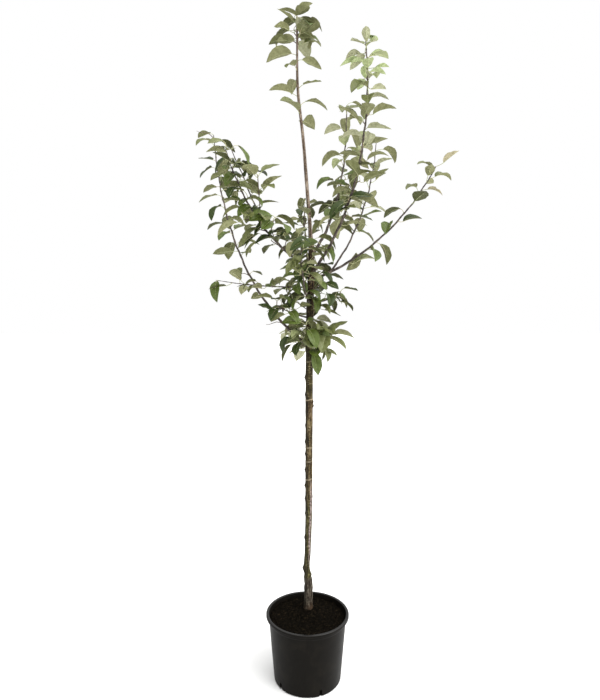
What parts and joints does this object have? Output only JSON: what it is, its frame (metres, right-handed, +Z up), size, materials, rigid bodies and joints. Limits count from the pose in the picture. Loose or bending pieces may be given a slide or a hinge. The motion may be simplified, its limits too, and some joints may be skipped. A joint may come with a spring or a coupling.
{
  "type": "young apple tree in a pot",
  "caption": "Young apple tree on a clear stem, with a leader, slender ascending boughs and sparse leaves, in a round black nursery pot.",
  "frame": {"origin": "centre of the pot's flat underside, on the surface it stands on", "axes": "+Z up along the stem, +X to the right and +Y away from the side the tree was pictured from"},
  "size_m": [0.8369, 0.5805, 2.214],
  "materials": {
    "pot": "satin",
    "soil": "matte",
    "bark": "matte",
    "foliage": "matte"
  },
  "bodies": {
    "root": {"pot": "pot", "soil": "soil", "trunk": "bark", "bough_low_left": "bark", "bough_left": "bark", "bough_left_fork": "bark", "bough_level_left": "bark", "bough_right_inner": "bark", "bough_right_tall": "bark", "bough_low_right": "bark", "bough_right_outer": "bark", "bough_back": "bark", "bough_front": "bark", "bough_short_left": "bark", "bough_short_right": "bark", "leaves_leader_top": "foliage", "leaves_leader_upper": "foliage", "leaves_leader_foot": "foliage", "leaves_trunk_middle": "foliage", "leaves_trunk_low": "foliage", "leaves_low_left_inner": "foliage", "leaves_low_left_middle": "foliage", "leaves_low_left_tip": "foliage", "leaves_left_inner": "foliage", "leaves_left_tip": "foliage", "leaves_left_fork": "foliage", "leaves_level_left": "foliage", "leaves_level_left_tip": "foliage", "leaves_right_inner_low": "foliage", "leaves_right_inner_tip": "foliage", "leaves_right_tall_low": "foliage", "leaves_right_tall_middle": "foliage", "leaves_right_tall_tip": "foliage", "leaves_right_outer": "foliage", "leaves_right_outer_tip": "foliage", "leaves_low_right_inner": "foliage", "leaves_low_right_middle": "foliage", "leaves_low_right_tip": "foliage", "leaves_short_left": "foliage", "leaves_short_right": "foliage", "leaves_back": "foliage", "leaves_front": "foliage"}
  },
  "joints": []
}
